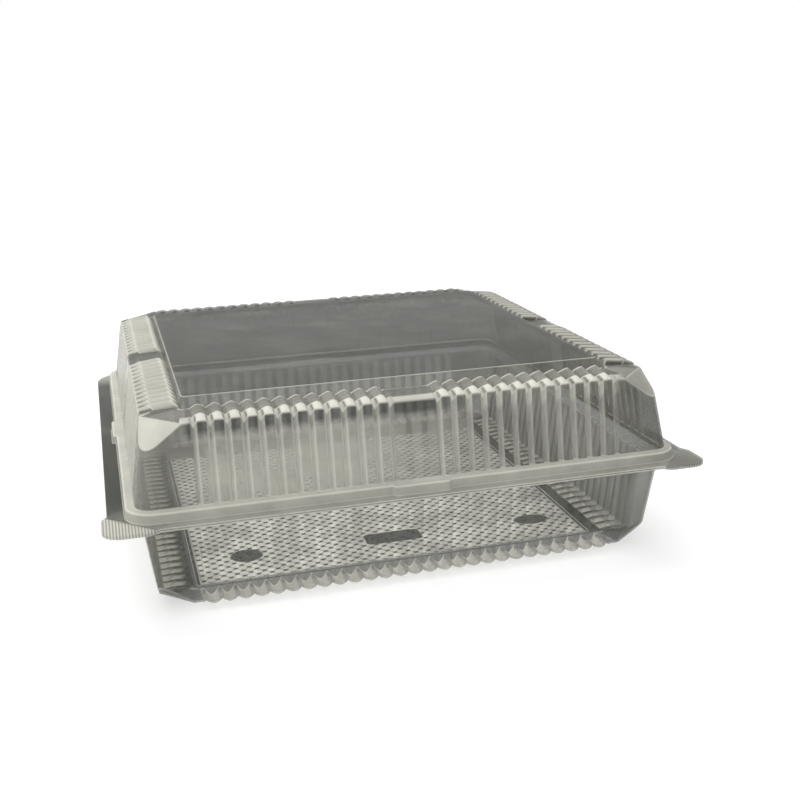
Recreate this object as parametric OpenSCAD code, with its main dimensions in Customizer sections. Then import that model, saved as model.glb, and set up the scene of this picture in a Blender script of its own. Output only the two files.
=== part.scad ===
// Square clear plastic tray with a hinged lid, both thermoformed from one clear sheet.
// Millimetres. The tray stands on z = 0, the front edge with the two finger tabs faces -Y
// and the fold that joins lid and tray lies along the back, parallel to X.

/* [Overall] */
// Width and depth of the lid's walls at their top, which the whole box follows
box_width = 204.5; // [150:0.5:250]
// Height of the lid above the line where it meets the tray
lid_height = 38.7; // [30:0.1:39]
// Depth of the tray below the line where it meets the lid
tray_depth = 41; // [39:0.1:60]
// Thickness of the formed sheet
sheet = 0.5; // [0.4:0.05:0.6]

/* [Rib pattern] */
// Distance from one rib to the next along a side
rib_pitch = 6.2; // [5:0.1:7]
// Least length of wall between the last rib and the wall's corner
corner_run = 16.5; // [14:0.5:24]
// Rib places left smooth at the middle of each side of the lid, an odd number
lid_smooth_places = 3; // [1:2:7]
// How far the ribs stand above the valleys between them on the shoulder
rib_rise = 2.4; // [1:0.1:2.4]
// The same on the outer edge of the lid's shoulder at the back, which runs almost level
back_rib_rise = 0.5; // [0.2:0.1:1]
// Depth of the flutes between the ribs on the upright walls
flute_depth = 1.8; // [0.6:0.1:2.2]

/* [Walls] */
// Width of the bevel between shoulder and wall
bevel_width = 4; // [3:0.1:5]
// Outward lean of the lid's walls from top to rim
lid_draft = 4.8; // [3:0.1:6]
// Outward lean of the tray's walls from floor to rim
tray_draft = 4.4; // [2:0.1:4.6]
// How much smaller the tray's wall is than the lid's at its far edge
tray_inset = 1.6; // [0.2:0.1:2.5]
// Rounding of the upright corners
corner_radius = 6.5; // [4:0.5:9]
// Slope of the flat facet across each corner, from the horizontal
facet_angle = 43; // [35:1:50]

/* [Flat panels] */
// Width of the sloped gutter in front of and behind the flat panel
gutter_width = 7; // [4:0.5:12]
// Width of the gutter at the left and right of the flat panel
side_gutter = 0.9; // [0.6:0.1:4]
// Width of the sloped ends of the ribs beside the panel
rib_end_slope = 2.5; // [1.5:0.1:4]

/* [Rim] */
// Width of the ledge between the lid's wall and the upright band of its rim
ledge_width = 3.75; // [3.4:0.05:6]
// Height of the band of the lid's rim above the flange
band_height = 4.4; // [3.6:0.1:7]
// Width of the flange on the left and right
side_flange = 6.3; // [4:0.1:12]
// Width of the flange at the front
front_flange = 4.5; // [3:0.1:8]
// Width of the flange at the back, up to the fold
back_flange = 5.9; // [4:0.1:8]
// Rounding of the rim's corners
rim_radius = 11; // [9:0.5:14]
// Rounding of the flange's two corners at the back, either side of the fold
back_radius = 17; // [11:0.5:24]
// How far the finger tabs reach past the flange
tab_reach = 2.2; // [0.5:0.1:4]
// Length of a finger tab along the flange
tab_length = 18; // [15:0.5:24]
// Length of the snap lug at the middle of each side of the rim
lug_length = 21; // [10:0.5:40]
// How far a snap lug bulges outward
lug_bulge = 1.6; // [0.6:0.1:2.2]
// Gap between the parts of lid and tray that lie against each other
fit_gap = 0.4; // [0.3:0.05:0.5]
// Thickness of the rounded fold at the back
fold_thickness = 1.6; // [1.4:0.1:2]
// Depth of the stacking ledge inside the tray, below the flange
tray_ledge_depth = 2.5; // [1.5:0.1:4]
// Width of the hollow bead that the lid snaps over
bead_width = 3; // [2.4:0.1:3.2]

/* [Hidden] */
clear_colour = [0.74, 0.75, 0.72, 0.5];
curve_steps = 6;
fold_facets = 24;
whole_height = lid_height + tray_depth;

// Fall of the ribs over the shoulder, their fall over the bevel, and how far below the
// bevel the flutes start. The tray is fluted right down to its bevel
lid_falls = [1.1, 1.6, 3];
tray_falls = [0.7, 1.4, 0.4];

// Depths below the plane of the flat panel, the same on lid and tray
rib_end_depth = 0.5;
gutter_depth = 3.7;
shoulder_smooth_depth = 2.9;
edge_smooth_depth = 3.7;
valley_setback = 2.6;
crease_share = 0.65;
tray_end_share = 0.8;

// Places along a side and outward from the middle. Ribs stand at whole places, and the
// pattern ends end_place beyond the last one
wall_edge = box_width / 2;
end_place = 0.75;
last_place = floor((wall_edge - corner_run) / rib_pitch - end_place);
rib_run = (last_place + end_place) * rib_pitch;
shoulder_margin = 1.6;
facet_margin = 2.75;
shoulder_start = rib_run + shoulder_margin;
inner_radius = 1.2;
inner_straight = 0.15;
facet_start = rib_run + facet_margin;
facet_fall = tan(facet_angle) / sqrt(2);
panel_radius = 2;
panel_x = shoulder_start - side_gutter;
panel_y = shoulder_start - gutter_width;
foot_margin = 0.6;

// The rim of the lid, from the wall outward
band_half = wall_edge + lid_draft + ledge_width;
band_lean = 0.4;
band_round = 0.9;
ledge_z = tray_depth + fit_gap / 2 + band_height;
lid_flange_z = tray_depth + fit_gap / 2;
fold_radius = fold_thickness / 2;
fold_y = band_half + back_flange;
front_half = band_half + front_flange;
side_half = band_half + side_flange;
fold_length = 2 * (side_half - back_radius);
lug_ramp = 1.2;

// The rim of the tray: a flange and a hollow bead that stands up inside the lid's band
tray_flange_z = tray_depth - fit_gap / 2;
tray_ledge_z = tray_flange_z - tray_ledge_depth;
bead_half = band_half - sheet - fit_gap;
bead_top_z = ledge_z - sheet - fit_gap;
bead_inner = bead_half - band_lean - bead_width;
bead_radius = rim_radius - band_lean - bead_width;
tab_ramp = 4;
tab_round = 7;
tab_steps = 4;

// Ring keys say how far round a point lies, so that neighbouring rings can be joined
side_span = 0.36;
corner_span = 0.025;
tab_span = 0.55 * corner_span;
same_key = 0.000001;

// A point u along side q and s outward, sides in the order front, right, back, left
function place(q, u, s, z) =
    q == 0 ? [u, -s, z] : q == 1 ? [s, u, z] : q == 2 ? [-u, s, z] : [-s, -u, z];

function side_key(q, u) = q + 0.5 + side_span * u / rib_run;

// The corner after side q, from a list of [u, s, depth or height]
function keyed_corner(q, list, span = corner_span) =
    [for (k = [0 : len(list) - 1])
        [q + 1 + (k - (len(list) - 1) / 2) * span,
         place(q, list[k][0], list[k][1], list[k][2])]];

function arc(hu, hs, r, z) =
    [for (k = [0 : curve_steps])
        let (a = 90 * k / curve_steps)
        [hu - r + r * sin(a), hs - r + r * cos(a), z]];

// Stations along a side as [u, kind]: 2 on a rib, 1 beside it, 0 in a valley and -1 where
// the ribs end.
// detail: 2 every station, 1 without the crease of each rib, 0 ribs and valleys only
function stations(smooth_places, detail) =
    let (last = 4 * (last_place + end_place),
         gap = smooth_places > 0 ? 2 * smooth_places - 1 : -1)
    [for (t = [-last : last])
        let (end = abs(t) == last || abs(t) == gap,
             step = abs(t) % 4,
             kept = detail == 2 || (detail == 1 ? step != 0 : step % 2 == 0))
        if (abs(t) >= gap && (end || kept))
            [t * rib_pitch / 4,
             end ? -1 : step == 0 ? 2 : step == 2 ? 0 : 1]];

// A level is [rib, valley, smooth], each [outward, depth]. share is how much of the rib's
// rise is there beside its crease
function level_point(level, kind, share) =
    kind < 0 ? level[2]
    : kind == 0 ? level[1]
    : kind == 2 ? level[0]
    : level[1] + (level[0] - level[1]) * share;

function moved(level, outward) = [for (p = level) p + [outward * sheet, sheet]];

// back_level is the level of the back side
function ribbed_ring(level, back_level, smooth_places, detail, share, corner) =
    [for (q = [0 : 3])
        each concat(
            [for (st = stations(smooth_places, detail))
                let (p = level_point(q == 2 ? back_level : level, st[1], share))
                [side_key(q, st[0]), place(q, st[0], p[0], p[1])]],
            keyed_corner(q, corner))];

function straight_ring(half, depth, smooth_places, corner) =
    let (level = [[half, depth], [half, depth], [half, depth]])
    ribbed_ring(level, level, smooth_places, 0, 1, corner);

// Corners of the ribbed rings
function inner_corner(half, depth) =
    concat([[half - inner_radius - inner_straight, half, depth]],
           arc(half, half, inner_radius, depth),
           [[half, half - inner_radius - inner_straight, depth]]);

function foot_corner(half, depth) =
    concat([[facet_start, half, depth]],
           arc(half, half, corner_radius, depth),
           [[half, facet_start, depth]]);

// How far a point lies outside the plane of the corner's flat facet
function facet_value(p, edge, depth) =
    p[0] + p[1] - facet_start - edge - (p[2] - depth) / facet_fall;

function facet_low(edge, depth, foot_half, foot_depth) =
    let (top = arc(edge, edge, corner_radius, depth),
         low = arc(foot_half, foot_half, corner_radius, foot_depth))
    concat([[facet_start, edge, depth]],
           [for (k = [0 : curve_steps])
               let (ft = facet_value(top[k], edge, depth),
                    fl = facet_value(low[k], edge, depth))
               top[k] + (low[k] - top[k]) * ft / (ft - fl)],
           [[edge, facet_start, depth]]);

function facet_high(edge, depth, back_half, back_depth) =
    concat([[facet_start, back_half, back_depth]],
           [for (k = [0 : curve_steps])
               let (t = (k + 1) / (curve_steps + 2))
               [facet_start + (edge - facet_start) * t,
                edge - (edge - facet_start) * t, depth]],
           [[back_half, facet_start, back_depth]]);

// The ribbed part of one skin of the sheet, from the gutter to the foot of the wall.
// skin 0 is the outer face, skin 1 the inner one. level_back is true where the shoulder's
// outer edge is nearly level at the back
function ribbed_part(edge, draft, foot_depth, falls, smooth_places, end_share, level_back, skin) =
    let (e = edge - skin * sheet,
         shoulder_rib = rib_end_depth + falls[0],
         edge_rib = shoulder_rib + falls[1],
         gutter = [shoulder_start + skin * sheet, gutter_depth + skin * sheet],
         plain_end = [[shoulder_start + rib_end_slope, rib_end_depth],
                      [shoulder_start, rib_end_depth + rib_rise],
                      [shoulder_start, rib_end_depth + rib_rise]],
         plain_shoulder = [[edge - bevel_width, shoulder_rib],
                           [edge - bevel_width - valley_setback, shoulder_rib + rib_rise],
                           [edge - bevel_width, shoulder_smooth_depth]],
         plain_back = [[edge - bevel_width, shoulder_rib],
                       [edge - bevel_width - valley_setback * back_rib_rise / rib_rise,
                        shoulder_rib + back_rib_rise],
                       [edge - bevel_width, shoulder_rib + back_rib_rise]],
         plain_top = [[edge, edge_rib],
                      [edge - flute_depth, edge_rib + falls[2]],
                      [edge, edge_smooth_depth]],
         end = skin == 0 ? plain_end : moved(plain_end, 1),
         shoulder = skin == 0 ? plain_shoulder : moved(plain_shoulder, -1),
         back = !level_back ? shoulder : skin == 0 ? plain_back : moved(plain_back, -1),
         top = skin == 0 ? plain_top : moved(plain_top, -1),
         half = e + draft,
         foot = [[half, foot_depth], [half - flute_depth, foot_depth], [half, foot_depth]])
    [straight_ring(gutter[0], gutter[1], smooth_places, inner_corner(gutter[0], gutter[1])),
     ribbed_ring(end, end, smooth_places, 2, crease_share, inner_corner(end[2][0], end[2][1])),
     ribbed_ring(shoulder, back, smooth_places, 2, crease_share,
                 facet_high(e, top[2][1], shoulder[2][0], shoulder[2][1])),
     ribbed_ring(top, top, smooth_places, end_share < 1 ? 2 : 1, end_share,
                 facet_low(e, top[2][1], half, foot_depth)),
     ribbed_ring(foot, foot, smooth_places, end_share < 1 ? 2 : 1, end_share,
                 foot_corner(half, foot_depth)),
     straight_ring(half + foot_margin, foot_depth, smooth_places,
                   foot_corner(half + foot_margin, foot_depth))];

// A rounded rectangle round the middle, h its half sizes at front, right, back and left
function rounded_ring(h, r, z, bulge) =
    [for (q = [0 : 3])
        let (hs = h[q],
             hu = h[(q + 1) % 4],
             mid = lug_length / 2,
             side = [[-mid - lug_ramp, 0], [-mid, bulge], [mid, bulge], [mid + lug_ramp, 0]])
        each concat(
            [for (p = side) [side_key(q, p[0]), place(q, p[0], hs + p[1], z)]],
            keyed_corner(q, arc(hu, hs, r, z)))];

function square_ring(h, r, z, bulge = 0) = rounded_ring([h, h, h, h], r, z, bulge);

// The outline of both flanges, with the finger tabs at the front. back is its back edge
function flange_ring(back, z) =
    [for (q = [0 : 3])
        let (h = [front_half, side_half, back, side_half],
             hs = h[q],
             hu = h[(q + 1) % 4],
             front = q == 0 || q == 3)
        each concat(
            [for (u = [-1, 1] * lug_length / 2) [side_key(q, u), place(q, u, hs, z)]],
            front ? keyed_corner(q, tab_corner(hu, hs, z), tab_span)
                  : keyed_corner(q, arc(hu, hs, back_radius, z)))];

// Outline of a finger tab round a front corner
function tab_corner(hu, hs, z) =
    let (run = [[0, 0], [0.3, 0.2], [0.7, 0.8], [1, 1]])
    concat(
        [for (k = run) [hu - tab_length + tab_ramp * k[0], hs + tab_reach * k[1], z]],
        [for (k = [0 : tab_steps])
            let (a = 90 * k / tab_steps)
            [hu + tab_reach - tab_round * (1 - sin(a)),
             hs + tab_reach - tab_round * (1 - cos(a)), z]],
        [for (k = reversed(run)) [hu + tab_reach * k[1], hs - tab_length + tab_ramp * k[0], z]]);

function panel_ring(in, z) =
    rounded_ring([panel_y - in, panel_x - in, panel_y - in, panel_x - in], panel_radius, z, 0);

// Triangles between two neighbouring rings, na and nb the numbers of their first points
function next_key(ring, i) =
    i >= len(ring) ? 9 : i + 1 == len(ring) ? ring[0][0] + 4 : ring[i + 1][0];

function step_first(a, b, i, j) =
    let (ka = next_key(a, i), kb = next_key(b, j))
    abs(ka - kb) > same_key ? ka < kb
    : norm(a[(i + 1) % len(a)][1] - b[j % len(b)][1])
      <= norm(a[i % len(a)][1] - b[(j + 1) % len(b)][1]);

function strip(a, b, na, nb) =
    [for (i = 0, j = 0, first = step_first(a, b, 0, 0);
          i + j < len(a) + len(b);
          i = first ? i + 1 : i,
          j = first ? j : j + 1,
          first = step_first(a, b, i, j))
        first
            ? [na + i % len(a), na + (i + 1) % len(a), nb + j % len(b)]
            : [na + i % len(a), nb + (j + 1) % len(b), nb + j % len(b)]];

function starts(rings) =
    [for (i = 0, n = 0; i < len(rings); n = n + len(rings[i]), i = i + 1) n];

function reversed(list) = [for (i = [len(list) - 1 : -1 : 0]) list[i]];

function middle(ring) = [0, 0, ring[0][1][2]];

// A closed skin through a stack of rings, with a flat face inside its first and last ring.
// upward is true when the first face looks up
module closed_skin(rings, upward) {
    first = starts(rings);
    count = len(rings);
    na = len(rings[0]);
    nz = len(rings[count - 1]);
    total = first[count - 1] + nz;
    points = concat([for (r = rings) each [for (p = r) p[1]]],
                    [middle(rings[0]), middle(rings[count - 1])]);
    faces = concat(
        [for (i = [0 : count - 2])
            each strip(rings[i], rings[i + 1], first[i], first[i + 1])],
        [for (i = [0 : na - 1]) [total, (i + 1) % na, i]],
        [for (i = [0 : nz - 1])
            [total + 1, first[count - 1] + i, first[count - 1] + (i + 1) % nz]]);
    polyhedron(points = points, faces = upward ? faces : [for (f = faces) reversed(f)]);
}

function lifted(rings) =
    [for (r = rings)
        [for (p = r) [p[0], [p[1][0], p[1][1], whole_height - p[1][2]]]]];

module lid() {
    depth = whole_height - ledge_z;
    back_half = fold_y - fold_radius - fit_gap;
    outer = ribbed_part(wall_edge, lid_draft, depth, lid_falls, lid_smooth_places, 1, true, 0);
    inner = ribbed_part(wall_edge, lid_draft, depth + sheet, lid_falls, lid_smooth_places, 1,
                        true, 1);
    band_top = band_half - band_lean;
    inside_radius = rim_radius - sheet;
    color(clear_colour)
        closed_skin(concat(
            [panel_ring(0, whole_height)],
            lifted(outer),
            [square_ring(band_top - band_round, rim_radius - band_round, ledge_z, lug_bulge),
             square_ring(band_top, rim_radius, ledge_z - band_round, lug_bulge),
             square_ring(band_half, rim_radius, lid_flange_z + sheet, lug_bulge),
             flange_ring(back_half, lid_flange_z + sheet),
             flange_ring(back_half, lid_flange_z),
             square_ring(band_half - sheet, inside_radius, lid_flange_z, lug_bulge),
             square_ring(band_top - sheet, inside_radius, ledge_z - sheet, lug_bulge)],
            lifted(reversed(inner)),
            [panel_ring(sheet, whole_height - sheet)]), true);
}

module tray() {
    edge = wall_edge - tray_inset;
    outer = ribbed_part(edge, tray_draft, tray_ledge_z - sheet, tray_falls, 0, tray_end_share,
                        false, 0);
    inner = ribbed_part(edge, tray_draft, tray_ledge_z, tray_falls, 0, tray_end_share,
                        false, 1);
    bead_top = bead_half - band_lean;
    hollow_radius = rim_radius - sheet;
    color(clear_colour) {
        closed_skin(concat(
            [panel_ring(0, 0)],
            outer,
            [square_ring(bead_inner + sheet, bead_radius, tray_ledge_z - sheet),
             square_ring(bead_inner + sheet, bead_radius, bead_top_z - sheet),
             square_ring(bead_top - sheet, hollow_radius, bead_top_z - sheet, lug_bulge),
             square_ring(bead_half - sheet, hollow_radius, tray_flange_z - sheet, lug_bulge),
             flange_ring(fold_y, tray_flange_z - sheet),
             flange_ring(fold_y, tray_flange_z),
             square_ring(bead_half, rim_radius, tray_flange_z, lug_bulge),
             square_ring(bead_top, rim_radius, bead_top_z, lug_bulge),
             square_ring(bead_inner, bead_radius, bead_top_z),
             square_ring(bead_inner, bead_radius, tray_ledge_z)],
            reversed(inner),
            [panel_ring(sheet, sheet)]), false);
        fold();
    }
}

// The living hinge, rounded where the sheet doubles back
module fold() {
    translate([-fold_length / 2, fold_y, tray_depth])
        rotate([0, 90, 0])
            cylinder(r = fold_radius, h = fold_length, $fn = fold_facets);
}

tray();
lid();
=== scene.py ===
"""Looks of the square clear tray with its hinged lid: fine shells, materials, light and camera."""
import math

import bpy
import numpy as np
from mathutils import Matrix, Vector


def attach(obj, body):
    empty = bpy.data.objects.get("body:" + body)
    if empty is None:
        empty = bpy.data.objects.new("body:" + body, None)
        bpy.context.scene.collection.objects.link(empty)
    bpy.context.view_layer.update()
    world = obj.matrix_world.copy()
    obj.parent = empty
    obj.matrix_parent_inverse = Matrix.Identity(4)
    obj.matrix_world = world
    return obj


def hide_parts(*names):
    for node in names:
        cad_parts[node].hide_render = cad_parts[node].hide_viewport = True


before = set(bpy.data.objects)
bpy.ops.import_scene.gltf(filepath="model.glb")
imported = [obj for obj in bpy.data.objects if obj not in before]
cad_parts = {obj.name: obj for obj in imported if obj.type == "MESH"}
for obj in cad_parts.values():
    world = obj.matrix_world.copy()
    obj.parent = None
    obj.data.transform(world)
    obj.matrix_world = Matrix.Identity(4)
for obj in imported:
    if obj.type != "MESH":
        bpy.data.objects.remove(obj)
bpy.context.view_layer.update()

# Driving sizes in mm, as in part.scad
SHEET = 0.5
WALL = 102.25                  # half width of the lid where its walls begin
TRAY_DEPTH, LID_HEIGHT = 41.0, 38.7
PITCH = 6.2
LAST = 13.75                   # where the ribs end, in pitches from the middle of a side
TRAY_INSET = 1.6
LID_DRAFT, TRAY_DRAFT = 4.8, 4.4
FACET_ANGLE, CORNER_R = 43, 6.5
INNER_R, INNER_FLAT = 1.2, 0.15
RIB_END, GUTTER, SMOOTH_SHOULDER = 0.5, 3.7, 2.9     # depths under the panel
END_SLOPE, BEVEL, FLUTE = 2.5, 4, 1.8
LID_FALLS, TRAY_FALLS = (1.1, 1.6, 3.0), (0.7, 1.4, 0.4)
RISE, BACK_RISE, SETBACK = 2.4, 0.5, 2.6
SIDE_GUTTER, END_GUTTER = 0.9, 7.0
GAP = 0.4                      # between the tray's bead and the lid's band
LEDGE, BAND_HEIGHT, LEAN = 3.75, 4.4, 0.4            # LEAN is how far a rim's foot is out
TRAY_LEDGE_DEPTH, BEAD_WIDTH = 2.5, 3.0
FRONT_FLANGE, SIDE_FLANGE, BACK_FLANGE = 4.5, 6.3, 5.9
RIM_R, BACK_R = 11.0, 17.0
FOLD_R = 0.8
LUG, LUG_BULGE, LUG_RAMP = 10.5, 1.6, 1.2
TAB_REACH, TAB_LEN, TAB_RAMP, TAB_R, TAB_STRAIGHT = 2.2, 18.0, 4.0, 7.0, 3.0

# Sizes that follow from them
WHOLE = TRAY_DEPTH + LID_HEIGHT
RUN = LAST * PITCH
SHOULDER, FACET = RUN + 1.6, RUN + 2.75              # where the shoulder and the corner facets start
FALL = math.tan(math.radians(FACET_ANGLE)) / math.sqrt(2)
# Half length, half width and corner of the panel's edge and of the flat part inside it
BRINK = (SHOULDER - SIDE_GUTTER, SHOULDER - END_GUTTER, 2.0)
BRINK_INSIDE = (BRINK[0] - SHEET, BRINK[1] - SHEET, BRINK[2])
PANEL = (BRINK[0] - 2, BRINK[1] - 2, 1.2)
PANEL_STRAIGHT = 0.3           # between the last point of a side and the corner
# Heights of the upper faces
LEDGE_Z = TRAY_DEPTH + GAP / 2 + BAND_HEIGHT
LID_FLANGE_Z = TRAY_DEPTH + GAP / 2 + SHEET
BEAD_Z = LEDGE_Z - SHEET - GAP
TRAY_FLANGE_Z = TRAY_DEPTH - GAP / 2
TRAY_LEDGE_Z = TRAY_FLANGE_Z - TRAY_LEDGE_DEPTH
# Half widths, those of band and bead at their tops
RIM = WALL + LID_DRAFT + LEDGE
BAND = RIM - LEAN
BEAD = BAND - SHEET - GAP
BEAD_INNER, BEAD_INNER_R = BEAD - BEAD_WIDTH, RIM_R - LEAN - BEAD_WIDTH
FRONT, SIDE = RIM + FRONT_FLANGE, RIM + SIDE_FLANGE
FOLD_Y, FOLD_Z, FOLD_LEN = RIM + BACK_FLANGE, TRAY_DEPTH, 2 * (SIDE - BACK_R)
LID_BACK = FOLD_Y - FOLD_R - GAP

# Finer shapes and tones, along a side in pitches
FOLD_ENDS = ((0.0, 0.45), (0.08, 0.68), (0.3, FOLD_R))    # in mm: distance from the end and radius
SMOOTH_HALF, SMOOTH_FADE = 1.5, 0.25     # half length of the lid's smooth places, and their margin
FLAT_HALF = 0.27               # half width of a flat rib
SHOULDER_POWER, TRAY_POWER = 1.5, 2.3    # roundness of the ribs on shoulders and on the tray's walls
CREASE_AT, CREASE_WIDTH = 0.34, 0.05
TOP_SHARE = 0.17               # share of the lid's walls with the dark squares between the ribs
MOST_ROUND, MOST_BAND = 0.42, 0.45       # most of a strip that a rounded edge and its tone take

STEPS = 12                     # stations a rib
U = np.linspace(-RUN, RUN, int(round(2 * LAST * STEPS)) + 1)
T = U / PITCH
F = np.abs(T - np.round(T))    # 0 on a rib, 0.5 in a valley
NS = len(U)
NC = 22                        # points round a corner

# Patterns, in metres
DOTS = (0.00559, 0.00526)      # the floor's staggered pattern along and across
DOT_AT = (-0.0237, -0.0704)    # one of its dots
DOT_EDGE = (0.62, 0.4)         # from a dot's foot to its top, in its own grid
PATTERN, PATTERN_FADE = (0.0836, 0.0783), 0.0004
MARGIN_LINE, LINE_FADE = (0.0841, 0.0788), 0.0003
# Plain spots: middle, half sizes and the power that makes them round or square
SPOTS = ((-0.0623, -0.0564, 0.0067, 0.0062, 2), (0.0020, -0.0569, 0.0124, 0.0055, 8),
         (0.0664, -0.0580, 0.0078, 0.0050, 2))
TAB_START = (0.2155, 0.2175)   # |x| - y where the finger tabs begin
TAB_TOP = (0.0416, 0.0424)     # height over which their fine ribs end
TAB_RIB = 0.0011
FULL_LEFT, FULL_RIGHT = -0.1, 0.1    # x of the left and the right tab


def smoothstep(a, b, v):
    t = np.clip((v - a) / (b - a), 0, 1)
    return t * t * (3 - 2 * t)


# Rings
def place(q, p):
    """Turns points along, outward and up from the front to side q."""
    u, s, z = p[:, 0], p[:, 1], p[:, 2]
    xy = {0: (u, -s), 1: (s, u), 2: (-u, s), 3: (-s, -u)}[q]
    return np.stack([xy[0], xy[1], z], axis=1)


def ring(sides, corners):
    """One closed ring: front, right, back and left side, each with the corner after it."""
    out = []
    for q in range(4):
        out.append(place(q, sides[q]))
        out.append(place(q, corners[q]))
    return np.concatenate(out)


def cols(u, s, z):
    """Points at u along a side, outward place s and height z."""
    return np.stack([u, s + 0 * u, z + 0 * u], axis=1)


def line(a, b, n):
    """n points between a and b, without either."""
    t = (np.arange(n) + 1) / (n + 1)
    return np.array(a)[None] + (np.array(b) - np.array(a))[None] * t[:, None]


def arc(hu, hs, r, z, n):
    """n points round a corner, from this side to the next."""
    a = np.linspace(0, math.pi / 2, n)
    return cols(hu - r + r * np.sin(a), hs - r + r * np.cos(a), z)


def run_arc_run(hu, hs, r, z):
    """A round corner with a straight stretch before and after it."""
    mid = arc(hu, hs, r, z, 8)
    a, b = (FACET, hs, z), (hu, FACET, z)
    return np.concatenate([[a], line(a, mid[0], 6), mid, line(mid[-1], b, 6), [b]])


def inner_corner(half, z):
    start = half - INNER_R - INNER_FLAT
    return np.concatenate([[(start, half, z)], arc(half, half, INNER_R, z, NC - 2), [(half, start, z)]])


def facet_high(edge, z, back, back_z):
    """The corner facet's upper edge."""
    a, b = (FACET, edge, z), (edge, FACET, z)
    return np.concatenate([[(FACET, back, back_z)], line(a, b, NC - 2), [(back, FACET, back_z)]])


def facet_low(edge, z, foot, foot_z):
    """The facet's lower edge: where its slanted plane meets the rounded corner of the wall."""
    top, low = arc(edge, edge, CORNER_R, z, 8), arc(foot, foot, CORNER_R, foot_z, 8)
    ft, fl = [p[:, 0] + p[:, 1] - FACET - edge - (p[:, 2] - z) / FALL for p in (top, low)]
    mid = top + (low - top) * (ft / (ft - fl))[:, None]
    a, b = (FACET, edge, z), (edge, FACET, z)
    return np.concatenate([[a], line(a, mid[0], 6), mid, line(mid[-1], b, 6), [b]])


def rib_round(power):
    """Round ribs: 1 on the ridge and 0 in the valley."""
    return 1 - (2 * F) ** power


def rib_flat():
    """Flat ribs with a groove between them."""
    return 1 - smoothstep(FLAT_HALF, 0.5, F)


def plain_share(middle):
    """1 at the ends of a side, and in the smooth place at its middle, where there is one."""
    a = np.abs(T)
    w = np.clip((a - LAST + SMOOTH_FADE) / SMOOTH_FADE, 0, 1)
    if middle:
        w = np.maximum(w, np.clip((SMOOTH_HALF - a) / SMOOTH_FADE, 0, 1))
    return w


def ribbed(level, rib, plain, corner, back=None):
    """A ring that runs between ridge and valley. level is its ridge, valley and smooth place."""
    sides = []
    for q in range(4):
        ridge, valley, smooth = [np.array(v) for v in (back if back and q == 2 else level)]
        p = valley + (ridge - valley) * rib[:, None]
        p = p + (smooth - p) * plain[:, None]
        sides.append(cols(U, p[:, 0], p[:, 1]))
    return ring(sides, [corner] * 4)


def square_ring(half, r, z, bulge=0.0):
    """A square ring with round corners. It bulges out at the snap lugs in the middle of each side."""
    b = bulge * (1 - smoothstep(LUG, LUG + LUG_RAMP, np.abs(U)))
    return ring([cols(U, half + b, z)] * 4, [run_arc_run(half, half, r, z)] * 4)


def rim_ring(half, z, inset=0.0):
    return square_ring(half - inset, RIM_R - inset, z - inset, LUG_BULGE)


def bead_ring(z, under=0.0):
    """The bead's inner wall."""
    return square_ring(BEAD_INNER + under, BEAD_INNER_R, z - under)


def tab_corner(hu, hs, z):
    """A front corner with its finger tab."""
    def half(hu, hs):
        u0 = hu - TAB_LEN
        run = [(FACET, hs), ((FACET + u0) / 2, hs)]
        for k in (0.0, 0.33, 0.67, 1.0):
            run.append((u0 + TAB_RAMP * k, hs + TAB_REACH * k * k * (3 - 2 * k)))
        run.append((hu + TAB_REACH - TAB_R - TAB_STRAIGHT, hs + TAB_REACH))
        return run
    one = [(a, b, z) for a, b in half(hu, hs)]
    two = [(b, a, z) for a, b in half(hs, hu)][::-1]
    return np.concatenate([one, arc(hu + TAB_REACH, hs + TAB_REACH, TAB_R, z, 8), two])


def flange_ring(back, z):
    """The flange's outline, with its finger tabs. back is how far it reaches at the back."""
    h = [FRONT, SIDE, back, SIDE]
    sides = [cols(U, h[q], z) for q in range(4)]
    corners = [tab_corner(h[(q + 1) % 4], h[q], z) if q in (0, 3)
               else run_arc_run(h[(q + 1) % 4], h[q], BACK_R, z) for q in range(4)]
    return ring(sides, corners)


def panel_ring(x, y, r, z):
    """A rectangle of these half sizes with round corners."""
    h = [y, x, y, x]
    sides, corners = [], []
    for q in range(4):
        hu, hs = h[(q + 1) % 4], h[q]
        sides.append(cols(U * (hu - r - PANEL_STRAIGHT) / RUN, hs, z))
        corners.append(arc(hu, hs, r, z, NC))
    return ring(sides, corners)


def ribbed_rings(edge, draft, foot, falls, middle, wall_rib, skin):
    """Gutter, rib ends, shoulder, wall top and wall foot, as rings of outward place and depth."""
    k = skin * SHEET
    high = RIB_END + falls[0]
    brink = high + falls[1]
    bevel = edge - BEVEL

    def moved(level, outward):
        return [(v[0] + outward * k, v[1] + k) for v in level]

    end = moved([(SHOULDER + END_SLOPE, RIB_END), (SHOULDER, RIB_END + RISE),
                 (SHOULDER, RIB_END + RISE)], 1)
    sho = moved([(bevel, high), (bevel - SETBACK, high + RISE), (bevel, SMOOTH_SHOULDER)], -1)
    back = moved([(bevel, high), (bevel - SETBACK * BACK_RISE / RISE, high + BACK_RISE),
                  (bevel, high + BACK_RISE)], -1)
    top = moved([(edge, brink), (edge - FLUTE, brink + falls[2]), (edge, GUTTER)], -1)
    half = edge - k + draft
    low = [(half, foot), (half - FLUTE, foot), (half, foot)]
    gut = (SHOULDER + k, GUTTER + k)
    plain = plain_share(middle)
    rib = rib_round(SHOULDER_POWER)
    return [
        ribbed([gut] * 3, rib, plain, inner_corner(*gut)),
        ribbed(end, rib, plain, inner_corner(*end[2])),
        ribbed(sho, rib, plain, facet_high(edge - k, top[2][1], *sho[2]), middle and back),
        ribbed(top, wall_rib, plain, facet_low(edge - k, top[2][1], half, foot)),
        ribbed(low, wall_rib, plain, run_arc_run(half, half, CORNER_R, foot)),
    ]


def lifted(r):
    """Turns a ring's depth under the lid's panel into its height."""
    r = r.copy()
    r[:, 2] = WHOLE - r[:, 2]
    return r


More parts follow.
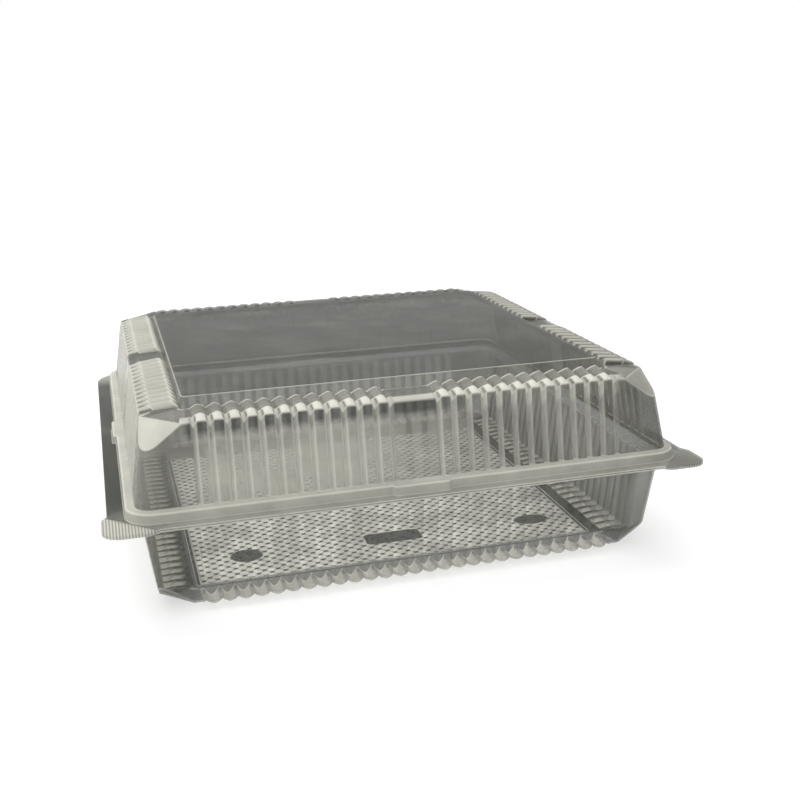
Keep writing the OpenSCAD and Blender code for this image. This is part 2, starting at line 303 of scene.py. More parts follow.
# How light each place of the sheet is: its haze, with light and shade painted by side and painted
# highlights and shade on ridges, creases and edges
def four(v):
    """One value for all sides, or the front, right, back and left ones."""
    return list(v) if isinstance(v, (list, tuple)) else [v] * 4


def by_place(ridge, valley, smooth, corner, middle, weight, crease_shading=0.0):
    """Values on the ribs, between them, on plain parts and round the corner after each side.
    The crease value is added where a rib turns into the groove beside it: painted shade where it is below
    0, a painted highlight where it is above 0."""
    plain = plain_share(middle)
    at_crease = np.exp(-((F - CREASE_AT) / CREASE_WIDTH) ** 2)
    out = []
    sides = zip(four(ridge), four(valley), four(smooth), four(corner), four(weight), four(crease_shading))
    for hi, lo, flat, turn, share, more in sides:
        v = lo + (hi - lo) * share + more * at_crease
        out += [v + (flat - v) * plain, np.full(NC, float(turn))]
    return np.concatenate(out)


def by_side(*v):
    """Values for the front, right, back and left, which pass into each other round the corners."""
    v = four(v if len(v) > 1 else v[0])
    out = []
    for q in range(4):
        out += [np.full(NS, float(v[q])), np.linspace(v[q], v[(q + 1) % 4], NC)]
    return np.concatenate(out)


# Mesh objects, and a shell from control rings
def new_object(name, verts, faces, smooth, values=(), slots=None):
    """A mesh object with a value at each point for each name in values."""
    me = bpy.data.meshes.new(name)
    me.from_pydata(verts, [], faces)
    me.polygons.foreach_set("use_smooth", smooth)
    if slots is not None:
        me.polygons.foreach_set("material_index", slots)
    for key, value in values:
        me.attributes.new(key, "FLOAT", "POINT").data.foreach_set("value", value.astype(np.float32))
    me.update()
    ob = bpy.data.objects.new(name, me)
    bpy.context.scene.collection.objects.link(ob)
    return ob


class Shell:
    """Rings are joined into one closed skin. Each ring is rounded over its own radius."""

    def __init__(self):
        self.rings, self.radii, self.bands, self.edges, self.haze, self.cover = [], [], [], [], [], []

    def add(self, points, radius, edge, haze, cover, band=0.0):
        """edge is the tone on the rounded edge, mostly a painted highlight, and the two values after it
        are the tone and cover of the strip after it.
        The edge's tone reaches on over band, before the edge where band is negative."""
        self.rings.append(points)
        self.radii.append(radius)
        self.bands.append(by_side(band)[:, None])
        self.edges.append(None if edge is None else by_side(edge) if np.ndim(edge) == 0 else edge)
        self.haze.append(by_side(haze) if np.ndim(haze) == 0 else haze)
        self.cover.append(by_side(cover) if np.ndim(cover) == 0 else cover)

    def rows(self):
        pts, haze, cover = [], [], []
        n = len(self.rings)
        for k in range(n):
            p = self.rings[k]
            before, after = max(k - 1, 0), min(k, n - 2)
            if k in (0, n - 1) or self.radii[k] <= 0:
                pts.append(p)
                haze.append(self.haze[after])
                cover.append(self.cover[after])
                continue
            a, b = self.rings[k - 1] - p, self.rings[k + 1] - p
            la = np.linalg.norm(a, axis=1, keepdims=True) + 1e-9
            lb = np.linalg.norm(b, axis=1, keepdims=True) + 1e-9
            p0 = p + a / la * np.minimum(self.radii[k], MOST_ROUND * la)
            p2 = p + b / lb * np.minimum(self.radii[k], MOST_ROUND * lb)
            edge = self.edges[k]
            if edge is None:
                edge = 0.5 * (self.haze[before] + self.haze[after])
            mid = 0.5 * (self.cover[before] + self.cover[after])
            band = self.bands[k]
            early, late = band.min() < 0, band.max() > 0
            if early:
                pts.append(p + a / la * np.minimum(self.radii[k] - band, MOST_BAND * la))
                haze.append(self.haze[before])
                cover.append(self.cover[before])
            pts += [p0, 0.25 * p0 + 0.5 * p + 0.25 * p2, p2]
            haze += [edge if early else self.haze[before], edge, edge if late else self.haze[after]]
            cover += [self.cover[before], mid, self.cover[after]]
            if late:
                pts.append(p + b / lb * np.minimum(self.radii[k] + band, MOST_BAND * lb))
                haze.append(self.haze[after])
                cover.append(self.cover[after])
        return np.array(pts), np.array(haze), np.array(cover)

    def mesh(self, name, upward, patterned):
        """The closed skin. Where it is patterned, its flat middle has the second material."""
        pts, haze, cover = self.rows()
        k, n = pts.shape[0], pts.shape[1]
        verts = np.concatenate([pts.reshape(-1, 3),
                                [[0, 0, pts[0, 0, 2]], [0, 0, pts[-1, 0, 2]]]]) / 1000
        i = np.arange(n)
        j = (i + 1) % n
        quads = []
        for r in range(k - 1):
            a, b = r * n, (r + 1) * n
            quads.append(np.stack([a + i, b + i, b + j, a + j], axis=1))
        quads = np.concatenate(quads)
        first = np.stack([np.full(n, k * n), i, j], axis=1)
        last = np.stack([np.full(n, k * n + 1), (k - 1) * n + j, (k - 1) * n + i], axis=1)
        if not upward:
            quads, first, last = quads[:, ::-1], first[:, ::-1], last[:, ::-1]
        faces = quads.tolist() + first.tolist() + last.tolist()
        slots = np.zeros(len(faces), dtype=np.int32)
        if patterned:
            slots[:n] = 1
            slots[len(quads) - n:] = 1
        values = [(key, np.concatenate([rows.reshape(-1), [rows[0].mean(), rows[-1].mean()]]))
                  for key, rows in (("haze", haze), ("cover", cover))]
        return new_object(name, verts.tolist(), faces, np.ones(len(faces), dtype=bool), values, slots)


def lid_piece():
    depth = WHOLE - LEDGE_Z
    outer, inner = [[lifted(r) for r in ribbed_rings(WALL, LID_DRAFT, depth + skin * SHEET, LID_FALLS,
                                                     True, rib_flat(), skin)] for skin in (0, 1)]
    # How far a rib's tone reaches towards the valley
    soft, facet, groove = 1 - 2 * F, 1 - smoothstep(0.26, 0.32, F), 1 - smoothstep(0.27, 0.35, F)
    thin, narrow = 1 - smoothstep(0.38, 0.47, F), 1 - smoothstep(0.12, 0.3, F)
    # Tones in the order of by_place, most of them as front, right, back and left
    # Over the sheet's haze these tones paint light and shade: each side lighter or darker as the light
    # falls on it, and painted highlights on ridges and edges.
    gutter = by_place((0.12, 0.15, 0.1, 0.2), (0.1, 0.12, 0.1, 0.2), 0.1, 0.15, True, soft)
    riser = by_place((0.1, 0.2, 0.1, 0.6), (0.1, 0.1, 0.1, 0.2), (0.12, 0.12, 0.1, 0.12), 0.25, True, soft)
    shoulder = by_place((0.34, 0.75, 0.12, 0.72), (0.16, 0.05, 0.08, 0.12), 0.1, (0.3, 0.15, 0.15, 0.25),
                        True, (thin, narrow, thin, thin))
    bevel = by_place((1.0, 0.6, 0.15, 0.78), (0.9, 0.1, 0.1, 0.25), (0.75, 0.2, 0.1, 0.1),
                     (0.5, 0.2, 0.2, 0.86), True, (facet, narrow, facet, facet), (-0.7, 0.0, 0.0, 0.0))
    top = by_place((0.0, 0.1, 0.05, 0.7), (0.55, 0.2, 0.3, 0.8), (0.0, 0.12, 0.05, 0.6),
                   (0.2, 0.15, 0.15, 0.3), True, groove, (0.1, 0.0, 0.0, 0.1))
    walls = by_place((0.14, 0.2, 0.05, 0.7), (0.58, 0.3, 0.2, 0.8), (0.1, 0.25, 0.05, 0.6),
                     (0.15, 0.15, 0.15, 0.25), True, groove, (0.12, 0.0, 0.0, 0.1))
    rib_top = by_place((1.0, 0.6, 0.25, 1.0), (1.0, 0.3, 0.2, 0.5), (0.5, 0.3, 0.15, 0.2),
                       (0.7, 0.4, 0.3, 0.8), True, thin)
    bright = by_place((1.0, 0.6, 0.25, 1.0), (0.8, 0.3, 0.2, 0.5), (0.6, 0.3, 0.15, 0.3),
                      (0.8, 0.5, 0.4, 0.95), True, facet)
    # The front wall is painted lighter on its left half, and lighter under the shoulder on its right half:
    # painted light
    walls[:NS] += 0.4 * smoothstep(-88, -78, U) * (1 - smoothstep(0, 26, U)) * (0.45 + 0.55 * groove)
    top[:NS] += 0.25 * smoothstep(5, 30, U)
    gutter_edge = by_side(0.4, 0.3, 0.15, 0.3)
    band = by_side(0.65, 0.2, 0.1, 0.6)
    band_edge = by_side(0.6, 0.5, 0.8, 0.6)
    flange = by_side(0.45, 0.12, 0.85, 0.0)
    # The covers are mostly denser on the right, back and left than at the front: partly the sheet's
    # smokiness, partly painted shade of the far walls seen through the box.
    panel_cover = 0.36
    gutter_cover = by_side(0.3, 0.6, 0.5, 0.6)
    rib_cover = by_side(0.3, 0.75, 0.5, 0.8)
    facet_cover = by_side(0.3, 0.5, 0.5, 0.6)
    top_cover = by_place((0.5, 0.66, 0.6, 0.5), (0.1, 0.66, 0.6, 0.5), (0.55, 0.66, 0.6, 0.5),
                         (0.3, 0.6, 0.6, 0.5), True, facet)
    top_cover[:NS] *= 1 - 0.6 * smoothstep(5, 30, U)
    wall_cover = by_side(0.08, 0.66, 0.6, 0.5)
    rim_cover = by_side(0.3, 0.5, 0.03, 0.42)
    flange_cover = by_side(0.3, 0.55, 0.4, 0.72)
    s = Shell()
    s.add(panel_ring(*PANEL, WHOLE), 0, None, 0.0, panel_cover)
    s.add(panel_ring(*BRINK, WHOLE), 0.5, by_side(0.9, 0.4, 0.2, 0.7), gutter, gutter_cover)
    s.add(outer[0], 0.8, gutter_edge, riser, rib_cover)
    s.add(outer[1], 0.6, rib_top, shoulder, rib_cover, 0.9)
    s.add(outer[2], 0.6, rib_top, bevel, facet_cover)
    s.add(outer[3], 0.7, bright, top, top_cover)
    s.add(outer[3] + TOP_SHARE * (outer[4] - outer[3]), 1.5, None, walls, wall_cover)
    s.add(outer[4], 0.6, by_side(0.8, 0.75, 0.9, 0.75), by_side(0.65, 0.5, 1.0, 0.75), rim_cover)
    s.add(rim_ring(BAND, LEDGE_Z), 0.9, 1.0, band, rim_cover)
    s.add(rim_ring(BAND + LEAN, LID_FLANGE_Z), 0.4, 0.8, flange, flange_cover)
    s.add(flange_ring(LID_BACK, LID_FLANGE_Z), 0.15, 0.95, 0.8, flange_cover)
    s.add(flange_ring(LID_BACK, LID_FLANGE_Z - SHEET), 0.15, 0.95, flange, flange_cover)
    s.add(rim_ring(BAND + LEAN, LID_FLANGE_Z, SHEET), 0.3, band_edge, band, rim_cover)
    s.add(rim_ring(BAND, LEDGE_Z, SHEET), 0.5, band_edge, by_side(0.65, 0.2, 1.0, 0.6), rim_cover)
    s.add(inner[4], 0.4, band_edge, walls, by_side(0.08, 0.66, 0.5, 0.5))
    s.add(inner[3] + TOP_SHARE * (inner[4] - inner[3]), 1.5, None, top, top_cover)
    s.add(inner[3], 0.7, bright, bevel, facet_cover)
    s.add(inner[2], 0.6, rib_top, shoulder, rib_cover)
    s.add(inner[1], 0.6, rib_top, riser, rib_cover)
    s.add(inner[0], 0.6, gutter_edge, gutter, gutter_cover)
    s.add(panel_ring(*BRINK_INSIDE, WHOLE - SHEET), 0.4, 0.5, 0.0, panel_cover)
    s.add(panel_ring(*PANEL, WHOLE - SHEET), 0, None, 0.0, panel_cover)
    return s.mesh("lid_sheet", True, False)


def tray_piece():
    outer, inner = [ribbed_rings(WALL - TRAY_INSET, TRAY_DRAFT, TRAY_LEDGE_Z - SHEET + skin * SHEET,
                                 TRAY_FALLS, False, rib_round(TRAY_POWER), skin) for skin in (0, 1)]
    soft, thin = 1 - 2 * F, 1 - smoothstep(0.36, 0.44, F)
    ripple = 1 - smoothstep(0.2, 0.4, F)
    # Over the sheet's haze these tones paint light and shade: each side lighter or darker as the light
    # falls on it, and painted highlights on ridges and edges.
    gutter = by_side(0.0, 0.05, 0.35, 0.0)
    riser = by_place((0.3, 0.2, 0.4, 0.0), (0.0, 0.0, 0.3, 0.0), 0.1, 0.2, False, soft)
    shoulder = by_place((0.85, 0.85, 0.5, 0.9), (0.25, 0.1, 0.3, 0.0), 0.12, (0.1, 0.1, 0.2, 0.1),
                        False, thin)
    bevel = by_place((0.9, 0.5, 0.5, 0.85), (0.5, 0.1, 0.3, 0.0), 0.2, (0.0, 0.2, 0.3, 0.0), False,
                     thin, (-0.2, 0.0, 0.0, 0.0))
    walls = by_place((0.12, 0.3, 0.5, 0.7), (0.0, 0.3, 0.0, 0.5), (0.05, 0.4, 0.0, 0.5),
                     (0.15, 0.2, 0.2, 0.06), False, ripple)
    bevel_edge = by_place((0.9, 0.6, 0.4, 0.9), (0.5, 0.3, 0.3, 0.3), 0.3, (0.7, 0.6, 0.4, 0.7),
                          False, soft)
    rib_end = by_place((0.95, 0.9, 0.4, 0.1), (0.8, 0.5, 0.3, 0.1), 0.3, (0.5, 0.5, 0.4, 0.6),
                       False, thin)
    bead = by_side(0.5, 0.2, 0.1, 0.6)
    bead_top = by_side(0.5, 0.2, 1.0, 0.6)
    bead_edge = by_side(0.5, 0.5, 0.8, 0.5)
    flange = by_side(0.45, 0.12, 0.85, 0.0)
    # The covers are mostly denser on the right, back and left than at the front: partly the sheet's
    # smokiness, partly painted shade of the far walls seen through the box.
    gutter_cover = by_side(0.85, 0.8, 0.6, 0.9)
    rib_cover = by_side(0.35, 0.6, 0.5, 0.85)
    facet_cover = by_side(0.25, 0.6, 0.5, 0.8)
    wall_cover = by_place((0.03, 0.6, 0.25, 0.6), (0.03, 0.6, 0.6, 0.6), (0.03, 0.6, 0.6, 0.6),
                          (0.25, 0.6, 0.5, 0.08), False, ripple)
    rim_cover = by_side(0.2, 0.5, 0.03, 0.42)
    foot_cover = by_side(0.2, 0.5, 0.5, 0.42)
    flange_cover = by_side(0.3, 0.55, 0.4, 0.72)
    s = Shell()
    s.add(panel_ring(*PANEL, 0.0), 0, None, 0.1, gutter_cover)
    s.add(panel_ring(*BRINK, 0.0), 0.5, 0.5, gutter, gutter_cover)
    s.add(outer[0], 0.8, 0.1, riser, rib_cover)
    s.add(outer[1], 0.6, rib_end, shoulder, rib_cover)
    s.add(outer[2], 0.9, bevel_edge, bevel, facet_cover)
    s.add(outer[3], 0.9, bevel_edge, walls, wall_cover)
    s.add(outer[4], 0.3, bead_edge, bead, foot_cover)
    s.add(bead_ring(TRAY_LEDGE_Z, SHEET), 0, None, bead, foot_cover)
    s.add(bead_ring(BEAD_Z, SHEET), 0.3, bead_edge, bead_top, rim_cover)
    s.add(rim_ring(BEAD, BEAD_Z, SHEET), 0.3, bead_edge, bead, rim_cover)
    s.add(rim_ring(BEAD + LEAN, TRAY_FLANGE_Z, SHEET), 0.2, bead_edge, flange, flange_cover)
    s.add(flange_ring(FOLD_Y, TRAY_FLANGE_Z - SHEET), 0.15, 0.95, 0.8, flange_cover)
    s.add(flange_ring(FOLD_Y, TRAY_FLANGE_Z), 0.15, 0.95, flange, flange_cover)
    s.add(rim_ring(BEAD + LEAN, TRAY_FLANGE_Z), 0.3, bead_edge, bead, rim_cover)
    s.add(rim_ring(BEAD, BEAD_Z), 0.5, 0.9, bead_top, rim_cover)
    s.add(bead_ring(BEAD_Z), 0.5, 0.9, bead, rim_cover)
    s.add(bead_ring(TRAY_LEDGE_Z), 0.3, bead_edge, bead, foot_cover)
    s.add(inner[4], 0.3, 0.5, walls, wall_cover)
    s.add(inner[3], 0.7, bevel_edge, bevel, facet_cover)
    s.add(inner[2], 0.7, bevel_edge, shoulder, rib_cover)
    s.add(inner[1], 0.6, rib_end, riser, rib_cover, (-0.8, -0.5, -0.5, -2.4))
    s.add(inner[0], 0.6, 0.1, gutter, gutter_cover)
    s.add(panel_ring(*BRINK_INSIDE, SHEET), 0.4, 0.8, 0.1, gutter_cover)
    s.add(panel_ring(*PANEL, SHEET), 0, None, 0.1, gutter_cover)
    return s.mesh("tray_sheet", False, True)


def fold_piece():
    """The rounded fold along the back: a round bar with softened ends."""
    steps, n = 40, 24
    straight = FOLD_LEN - 2 * FOLD_ENDS[-1][0]
    rows = [(d - FOLD_LEN / 2, r) for d, r in FOLD_ENDS]
    rows += [(straight * (k / steps - 0.5), FOLD_R) for k in range(1, steps)]
    rows += [(FOLD_LEN / 2 - d, r) for d, r in FOLD_ENDS[::-1]]
    verts, faces = [], []
    for x, r in rows:
        for k in range(n):
            a = 2 * math.pi * k / n
            verts.append((x / 1000, (FOLD_Y + r * math.cos(a)) / 1000, (FOLD_Z + r * math.sin(a)) / 1000))
    for i in range(len(rows) - 1):
        for k in range(n):
            m = (k + 1) % n
            faces.append(((i + 1) * n + k, (i + 1) * n + m, i * n + m, i * n + k))
    faces.append(tuple(range(n)))
    faces.append(tuple((len(rows) - 1) * n + k for k in range(n))[::-1])
    values = [(key, np.full(len(verts), v)) for key, v in (("haze", 0.9), ("cover", 0.5))]
    return new_object("fold_bead", verts, faces, [len(f) == 4 for f in faces], values)


# Materials
class Nodes:
    def __init__(self, name):
        self.mat = bpy.data.materials.new(name)
        self.mat.use_nodes = True
        self.tree = self.mat.node_tree
        self.tree.nodes.clear()

    def new(self, kind, **values):
        node = self.tree.nodes.new(kind)
        for k, v in values.items():
            setattr(node, k, v)
        return node

    def link(self, a, b):
        self.tree.links.new(a, b)

    def math(self, op, a, b=None, clamp=False):
        node = self.new("ShaderNodeMath", operation=op, use_clamp=clamp)
        for i, v in enumerate((a, b)):
            if v is None:
                continue
            if isinstance(v, (int, float)):
                node.inputs[i].default_value = v
            else:
                self.link(v, node.inputs[i])
        return node.outputs[0]

    def ramp(self, value, lo, hi, out_lo=0.0, out_hi=1.0, smooth=True):
        node = self.new("ShaderNodeMapRange", interpolation_type="SMOOTHSTEP" if smooth else "LINEAR")
        self.link(value, node.inputs["Value"])
        for key, v in (("From Min", lo), ("From Max", hi), ("To Min", out_lo), ("To Max", out_hi)):
            node.inputs[key].default_value = v
        return node.outputs["Result"]

    def noise(self, vector, scale, detail=2.0, rough=0.5):
        node = self.new("ShaderNodeTexNoise")
        node.inputs["Scale"].default_value = scale
        node.inputs["Detail"].default_value = detail
        node.inputs["Roughness"].default_value = rough
        self.link(vector, node.inputs["Vector"])
        return node.outputs["Fac"]

    def place(self):
        """The object's own coordinates, also as x, y and z."""
        co = self.new("ShaderNodeTexCoord").outputs["Object"]
        xyz = self.new("ShaderNodeSeparateXYZ")
        self.link(co, xyz.inputs[0])
        return co, xyz.outputs[0], xyz.outputs[1], xyz.outputs[2]

    def within(self, x, y, half, fade):
        """1 inside a rectangle of these half sizes."""
        return self.math("MULTIPLY", self.ramp(self.math("ABSOLUTE", x), half[0], half[0] - fade),
                         self.ramp(self.math("ABSOLUTE", y), half[1], half[1] - fade))

    def blend(self, fac, a, b):
        node = self.new("ShaderNodeMix", data_type="RGBA")
        self.link(fac, node.inputs[0])
        # The colours are sockets 6 and 7, and the mixed one is output 2
        node.inputs[6].default_value = (*a, 1)
        node.inputs[7].default_value = (*b, 1)
        return node.outputs[2]

    def finish(self, colour, alpha, rough, height, bump, distance):
        bsdf = self.new("ShaderNodeBsdfPrincipled")
        self.link(colour, bsdf.inputs["Base Color"])
        # A clear sheet passes nearly all the light that falls on what lies behind it
        path = self.new("ShaderNodeLightPath")
        lit = self.math("MAXIMUM", path.outputs["Is Shadow Ray"], path.outputs["Is Diffuse Ray"])
        passing = self.ramp(lit, 0, 1, 1.0, LIT_SHARE, smooth=False)
        self.link(self.math("MULTIPLY", alpha, passing), bsdf.inputs["Alpha"])
        self.link(rough, bsdf.inputs["Roughness"])
        bsdf.inputs["IOR"].default_value = SHEET_IOR
        bsdf.inputs["Specular IOR Level"].default_value = SHINE
        node = self.new("ShaderNodeBump")
        node.inputs["Strength"].default_value = bump
        node.inputs["Distance"].default_value = distance
        self.link(height, node.inputs["Height"])
        self.link(node.outputs["Normal"], bsdf.inputs["Normal"])
        out = self.new("ShaderNodeOutputMaterial")
        self.link(bsdf.outputs["BSDF"], out.inputs["Surface"])
        return self.mat


DARK, LIGHT = (0.05, 0.053, 0.042), (0.71, 0.70, 0.62)
FLOOR_DARK, FLOOR_LIGHT = (0.05, 0.053, 0.044), (0.78, 0.77, 0.69)
SLANT_ALPHA, HAZY_ALPHA = 0.62, 0.8
LIT_SHARE = 0.3                # share of the alpha that shadow and diffuse rays meet
SHEET_IOR, SHINE = 1.4, 0.05


def sheet_material(name):
    """Clear sheet. Two attributes give its tone and how dense it is at each place. The tone is the sheet's
    haze together with painted light, shade and highlights set by place; the density is partly its own
    smokiness and partly painted shade, denser on the right, back and left than at the front.
    """
    m = Nodes(name)
    co, x, y, z = m.place()
    haze = m.new("ShaderNodeAttribute", attribute_name="haze").outputs["Fac"]
    cloud = m.noise(co, 45.0, 3.0, 0.6)
    fine = m.noise(co, 420.0, 2.0, 0.5)
    h = m.math("ADD", haze, m.ramp(cloud, 0.3, 0.7, -0.05, 0.05))
    h = m.math("ADD", h, m.ramp(fine, 0.3, 0.7, -0.012, 0.012), clamp=True)
    # Finger tabs: fine ribs, straight across the left one and aslant on the right one
    ax = m.math("ABSOLUTE", x)
    tab = m.math("MULTIPLY", m.ramp(m.math("SUBTRACT", ax, y), *TAB_START), m.ramp(z, *TAB_TOP, 1.0, 0.0))
    slope = m.ramp(x, FULL_LEFT, FULL_RIGHT, 0.0, -1.0, smooth=False)
    along = m.math("ADD", ax, m.math("MULTIPLY", y, slope))
    stripe = m.math("SINE", m.math("MULTIPLY", along, 2 * math.pi / TAB_RIB))
    # The left tab is painted lighter than the right one, and the fine ribs of both get light and dark
    # stripes: painted light and shade.
    light = m.ramp(x, FULL_LEFT, FULL_RIGHT, 0.45, 0.0, smooth=False)
    light = m.math("ADD", light, m.ramp(stripe, -0.8, 0.8, 0.0, 0.4))
    h = m.math("MULTIPLY", h, m.math("SUBTRACT", 1.0, tab))
    h = m.math("ADD", h, m.math("MULTIPLY", tab, light), clamp=True)
    # The tone runs from the clear smoky colour to the light haze colour, and the painted light, shade and
    # highlights use the same ramp.
    colour = m.blend(h, DARK, LIGHT)
    # Clear seen straight through and denser at a slant, most of all where it is denser anyway
    clear = m.new("ShaderNodeAttribute", attribute_name="cover").outputs["Fac"]
    slant = m.ramp(m.new("ShaderNodeLayerWeight").outputs["Facing"], 0.3, 0.75)
    slant = m.math("MULTIPLY", slant, m.ramp(clear, 0.0, 0.4, 0.15, 1.0, smooth=False))
    clear = m.math("ADD", clear, m.math("MULTIPLY", slant, m.math("SUBTRACT", SLANT_ALPHA, clear)))
    alpha = m.math("ADD", clear, m.math("MULTIPLY", h, m.math("SUBTRACT", HAZY_ALPHA, clear)))
    rough = m.ramp(fine, 0.2, 0.8, 0.1, 0.24)
    height = m.math("ADD", cloud, m.math("MULTIPLY", m.math("MULTIPLY", tab, stripe), 0.5))
    return m.finish(colour, alpha, rough, height, 0.25, 0.0006)


def floor_material(name):
    """The tray's floor: staggered raised dots, a plain margin and three plain spots near the front."""
    m = Nodes(name)
    co, x, y, _ = m.place()
    turn = m.new("ShaderNodeMapping")
    turn.inputs["Rotation"].default_value = (0, 0, math.radians(45))
    turn.inputs["Scale"].default_value = (math.sqrt(2) / DOTS[0], math.sqrt(2) / DOTS[1], 1)
    flat = m.new("ShaderNodeCombineXYZ")
    m.link(m.math("SUBTRACT", x, DOT_AT[0]), flat.inputs[0])
    m.link(m.math("SUBTRACT", y, DOT_AT[1]), flat.inputs[1])
    m.link(flat.outputs[0], turn.inputs["Vector"])
    dots = m.new("ShaderNodeTexVoronoi", voronoi_dimensions="2D", feature="F1")
    dots.inputs["Scale"].default_value = 1.0
    dots.inputs["Randomness"].default_value = 0.0
    m.link(turn.outputs["Vector"], dots.inputs["Vector"])
    dot = m.ramp(dots.outputs["Distance"], *DOT_EDGE)
    # Where the pattern lies, and the light line round it
    inside = m.within(x, y, PATTERN, PATTERN_FADE)
    edge = m.math("SUBTRACT", m.within(x, y, MARGIN_LINE, LINE_FADE), inside, clamp=True)
    spots = None
    for cx, cy, wx, wy, power in SPOTS:
        dx = m.math("ABSOLUTE", m.math("DIVIDE", m.math("SUBTRACT", x, cx), wx))
        dy = m.math("ABSOLUTE", m.math("DIVIDE", m.math("SUBTRACT", y, cy), wy))
        d = m.math("ADD", m.math("POWER", dx, power), m.math("POWER", dy, power))
        one = m.ramp(d, 1.15, 0.9)
        spots = one if spots is None else m.math("MAXIMUM", spots, one)
    where = m.math("MULTIPLY", inside, m.math("SUBTRACT", 1.0, spots))
    cloud = m.noise(co, 40.0, 3.0, 0.6)
    fine = m.noise(co, 600.0, 2.0, 0.5)
    h = m.math("MULTIPLY", where, m.math("MULTIPLY", dot, m.ramp(cloud, 0.3, 0.7, 0.6, 1.1)))
    h = m.math("MULTIPLY", h, m.ramp(x, -0.02, 0.08, 1.0, 0.72))     # darker to the right
    h = m.math("ADD", h, m.math("MULTIPLY", edge, 0.6))
    h = m.math("ADD", h, m.ramp(fine, 0.3, 0.7, 0.0, 0.08), clamp=True)
    colour = m.blend(h, FLOOR_DARK, FLOOR_LIGHT)
    alpha = m.ramp(h, 0.0, 1.0, 0.88, 0.97, smooth=False)
    rough = m.ramp(fine, 0.2, 0.8, 0.12, 0.28)
    height = m.math("MULTIPLY", where, dot)
    return m.finish(colour, alpha, rough, height, 0.8, 0.001)


STAGE_TONE, STAGE_GLOW = (0.93, 0.93, 0.93, 1), 0.12
WHITE_FROM = (0.25, 0.9)       # distance from the box, in metres, over which the floor turns white


def stage_material():
    """Pale and plain. It keeps the box's shadow and is white where it is seen away from it."""
    m = Nodes("stage")
    light = m.new("ShaderNodeLightPath")
    seen = m.math("ADD", light.outputs["Is Camera Ray"], light.outputs["Is Glossy Ray"], clamp=True)
    seen = m.math("ADD", seen, light.outputs["Is Transmission Ray"], clamp=True)
    diffuse = m.new("ShaderNodeBsdfDiffuse")
    diffuse.inputs["Color"].default_value = STAGE_TONE
    glow = m.new("ShaderNodeEmission")
    m.link(m.math("MULTIPLY", seen, STAGE_GLOW), glow.inputs["Strength"])
    near = m.new("ShaderNodeAddShader")
    m.link(diffuse.outputs[0], near.inputs[0])
    m.link(glow.outputs[0], near.inputs[1])
    # Away from the box the floor and the backdrop pass into plain white
    far = m.new("ShaderNodeEmission")
    length = m.new("ShaderNodeVectorMath", operation="LENGTH")
    m.link(m.new("ShaderNodeTexCoord").outputs["Object"], length.inputs[0])
    share = m.math("MULTIPLY", m.ramp(length.outputs["Value"], *WHITE_FROM), seen)
    both = m.new("ShaderNodeMixShader")
    m.link(share, both.inputs[0])
    m.link(near.outputs[0], both.inputs[1])
    m.link(far.outputs[0], both.inputs[2])
    out = m.new("ShaderNodeOutputMaterial")
    m.link(both.outputs[0], out.inputs["Surface"])
    return m.mat


# Pieces
lid = lid_piece()
tray = tray_piece()
fold = fold_piece()
lid.data.materials.append(sheet_material("lid_clear_sheet"))
tray.data.materials.append(sheet_material("tray_clear_sheet"))
tray.data.materials.append(floor_material("tray_floor_pattern"))
fold.data.materials.append(lid.data.materials[0])
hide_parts("lid")
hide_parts("tray")
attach(lid, "lid")
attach(tray, "tray")
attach(fold, "tray")

# Floor and backdrop
def stage_mesh():
    """A floor that bends up into a backdrop, in metres."""
    half, reach, r, height, steps = 4.0, 3.0, 0.8, 3.2, 12
    rows = [(-reach, 0.0)]
    for k in range(steps + 1):
        a = math.radians(90 * k / steps)
        rows.append((reach - r + r * math.sin(a), r - r * math.cos(a)))
    rows.append((reach, height))
    verts = [(x, y, z) for y, z in rows for x in (-half, half)]
    faces = [(2 * k, 2 * k + 1, 2 * k + 3, 2 * k + 2) for k in range(len(rows) - 1)]
    return new_object("stage", verts, faces, [True] * len(faces))


stage = stage_mesh()
stage.data.materials.append(stage_material())

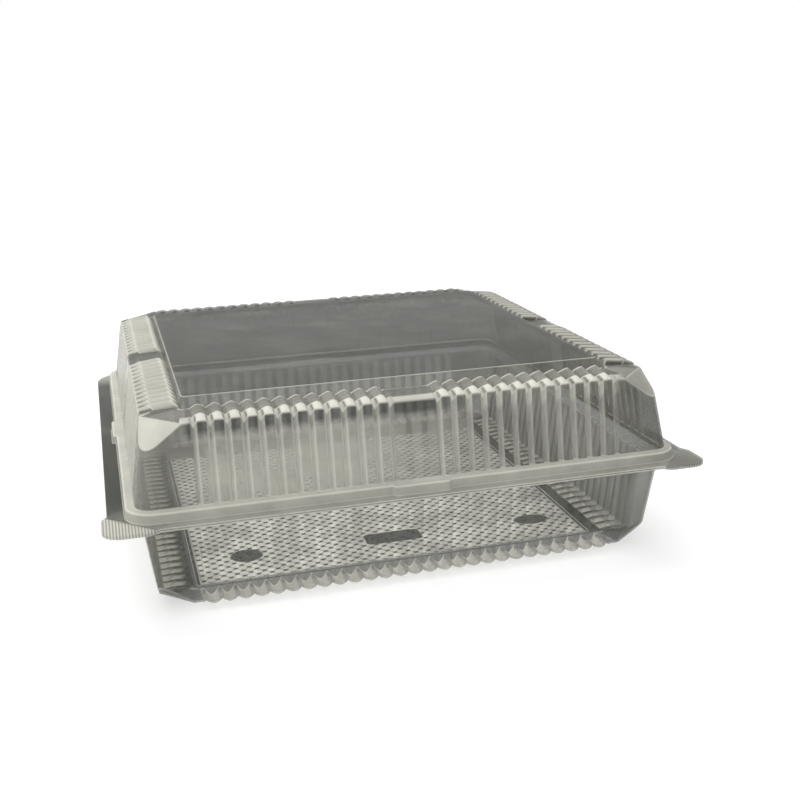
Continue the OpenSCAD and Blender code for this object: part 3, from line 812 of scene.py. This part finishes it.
# Light: the world is white where it is seen and dimmer as a light
WORLD_LIGHT = 0.65
world = bpy.data.worlds.new("studio")
bpy.context.scene.world = world
world.use_nodes = True
wt = world.node_tree
wt.nodes.clear()
path = wt.nodes.new("ShaderNodeLightPath")
seen = wt.nodes.new("ShaderNodeMath")
seen.operation = "ADD"
seen.use_clamp = True
wt.links.new(path.outputs["Is Camera Ray"], seen.inputs[0])
wt.links.new(path.outputs["Is Transmission Ray"], seen.inputs[1])
power = wt.nodes.new("ShaderNodeMapRange")
power.inputs["To Min"].default_value = WORLD_LIGHT
power.inputs["To Max"].default_value = 1.0
wt.links.new(seen.outputs[0], power.inputs["Value"])
back = wt.nodes.new("ShaderNodeBackground")
back.inputs["Color"].default_value = (1, 1, 1, 1)
wt.links.new(power.outputs["Result"], back.inputs["Strength"])
wo = wt.nodes.new("ShaderNodeOutputWorld")
wt.links.new(back.outputs[0], wo.inputs["Surface"])


def area(name, direction, distance, size, watts):
    data = bpy.data.lights.new(name, "AREA")
    data.shape = "RECTANGLE"
    data.size, data.size_y = size
    data.energy = watts
    ob = bpy.data.objects.new(name, data)
    d = Vector(direction).normalized()
    ob.location = d * distance + Vector((0, 0, 0.04))
    ob.rotation_euler = (-d).to_track_quat("-Z", "Y").to_euler()
    bpy.context.scene.collection.objects.link(ob)


area("overhead", (-0.1, 0.35, 0.93), 1.5, (1.5, 1.2), 17)
area("left", (-0.85, -0.25, 0.45), 1.6, (0.9, 0.9), 5)

# Camera, as fitted to the photo
CAMERA_AT = (-0.11169, -0.48539, 0.19397)
pitch, yaw, roll = math.radians(16.47), math.radians(15.435), math.radians(-1.316)
ahead = Vector((math.sin(yaw) * math.cos(pitch), math.cos(yaw) * math.cos(pitch), -math.sin(pitch)))
level = Vector((math.cos(yaw), -math.sin(yaw), 0))
above = level.cross(ahead)
right = level * math.cos(roll) + above * math.sin(roll)
up = -level * math.sin(roll) + above * math.cos(roll)
camera = bpy.data.objects.new("camera", bpy.data.cameras.new("camera"))
camera.data.sensor_width = 36
camera.data.lens = 49.195
camera.data.clip_start = 0.01
rows = [(right[k], up[k], -ahead[k], CAMERA_AT[k]) for k in range(3)]
camera.matrix_world = Matrix(rows + [(0, 0, 0, 1)])
bpy.context.scene.collection.objects.link(camera)
bpy.context.scene.camera = camera
bpy.context.scene.view_settings.view_transform = "Standard"
